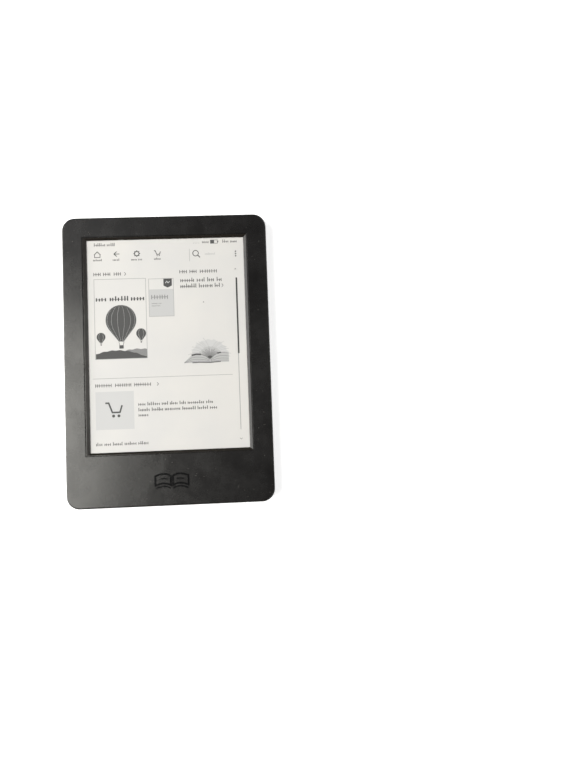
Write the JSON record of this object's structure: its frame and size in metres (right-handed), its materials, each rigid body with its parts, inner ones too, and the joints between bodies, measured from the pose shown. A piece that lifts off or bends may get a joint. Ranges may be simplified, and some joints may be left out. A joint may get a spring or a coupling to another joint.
{
  "type": "e-reader",
  "caption": "Slim e-reader with a recessed paper-like page, a slanted glossy light-guide frame round it, a wide lower bezel, and a charging socket and pressable power button in the bottom edge.",
  "frame": {"origin": "centre of the outline on the back face, on the surface the reader lies on", "axes": "+Z out of the page, +Y towards the page's top edge, +X towards the page's right edge"},
  "size_m": [0.119, 0.169, 0.0102],
  "materials": {
    "case_plastic": "matte",
    "rear_plastic": "matte",
    "guide_plastic": "gloss",
    "button_plastic": "satin",
    "panel_glass": "gloss",
    "page_film": "matte",
    "black_foam": "matte",
    "clear_tape": "satin",
    "frame_metal": "satin",
    "screw_steel": "satin",
    "shell_steel": "satin",
    "can_steel": "satin",
    "board_green": "satin",
    "touch_green": "satin",
    "pouch_foil": "satin",
    "flex_film": "satin",
    "chip_black": "matte",
    "inductor_ferrite": "matte",
    "capacitor_ceramic": "matte",
    "antenna_ceramic": "satin",
    "crystal_can": "satin",
    "socket_cream": "matte",
    "latch_brown": "matte",
    "lead_insulation": "satin",
    "plug_white": "matte",
    "contact_gold": "polished",
    "core_black": "matte",
    "emitter_clear": "gloss",
    "receiver_dark": "gloss",
    "light_pipe_clear": "gloss",
    "lamp_white": "satin",
    "dome_steel": "satin"
  },
  "bodies": {
    "reader": {"rear_cover": "rear_plastic", "front_bezel": "case_plastic", "light_guide": "guide_plastic", "panel_backplane": "panel_glass", "panel_ink_film": "page_film", "panel_driver_chip": "chip_black", "panel_gasket": "black_foam", "panel_tape": "clear_tape", "panel_flex": "flex_film", "panel_socket": "socket_cream", "touch_board": "touch_green", "touch_emitters": "emitter_clear", "touch_receivers": "receiver_dark", "touch_flex": "flex_film", "touch_socket": "socket_cream", "mid_frame": "frame_metal", "frame_screws": "screw_steel", "board_screws": "screw_steel", "battery_cell": "pouch_foil", "battery_guard_board": "board_green", "battery_tape": "clear_tape", "battery_foam": "black_foam", "battery_leads": "lead_insulation", "battery_plug": "plug_white", "battery_header": "plug_white", "main_board": "board_green", "processor": "chip_black", "memory_chips": "chip_black", "processor_shield": "can_steel", "power_chip": "chip_black", "power_inductors": "inductor_ferrite", "power_shield": "can_steel", "wireless_module": "can_steel", "wireless_antenna": "antenna_ceramic", "touch_controller": "chip_black", "clock_crystal": "crystal_can", "small_capacitors": "capacitor_ceramic", "usb_shell": "shell_steel", "usb_core": "core_black", "usb_contacts": "contact_gold", "switch_housing": "core_black", "switch_dome": "dome_steel", "status_lamp": "lamp_white", "status_light_pipe": "light_pipe_clear"},
    "power_button": {"power_button": "button_plastic"},
    "switch_plunger": {"switch_plunger": "core_black"},
    "panel_latch": {"panel_socket_latch": "latch_brown"},
    "touch_latch": {"touch_socket_latch": "latch_brown"}
  },
  "joints": [
    {"name": "power_button_press", "type": "slide", "parent": "reader", "child": "power_button", "axis": [0, 1, 0], "range_m": [0, 0.0004], "stiffness_N_per_m": 1500},
    {"name": "switch_plunger_press", "type": "slide", "parent": "reader", "child": "switch_plunger", "axis": [0, 1, 0], "range_m": [0, 0.0004], "deforming": ["switch_dome"]},
    {"name": "panel_latch_flip", "type": "hinge", "parent": "reader", "child": "panel_latch", "pos_m": [-0.035, -0.05765, 0.0043], "axis": [-1, 0, 0], "range_deg": [0, 90]},
    {"name": "touch_latch_flip", "type": "hinge", "parent": "reader", "child": "touch_latch", "pos_m": [0.035, -0.05765, 0.0043], "axis": [-1, 0, 0], "range_deg": [0, 90]}
  ],
  "couplings": [
    {"joint": "switch_plunger_press", "follows": "power_button_press", "ratio": 1}
  ]
}
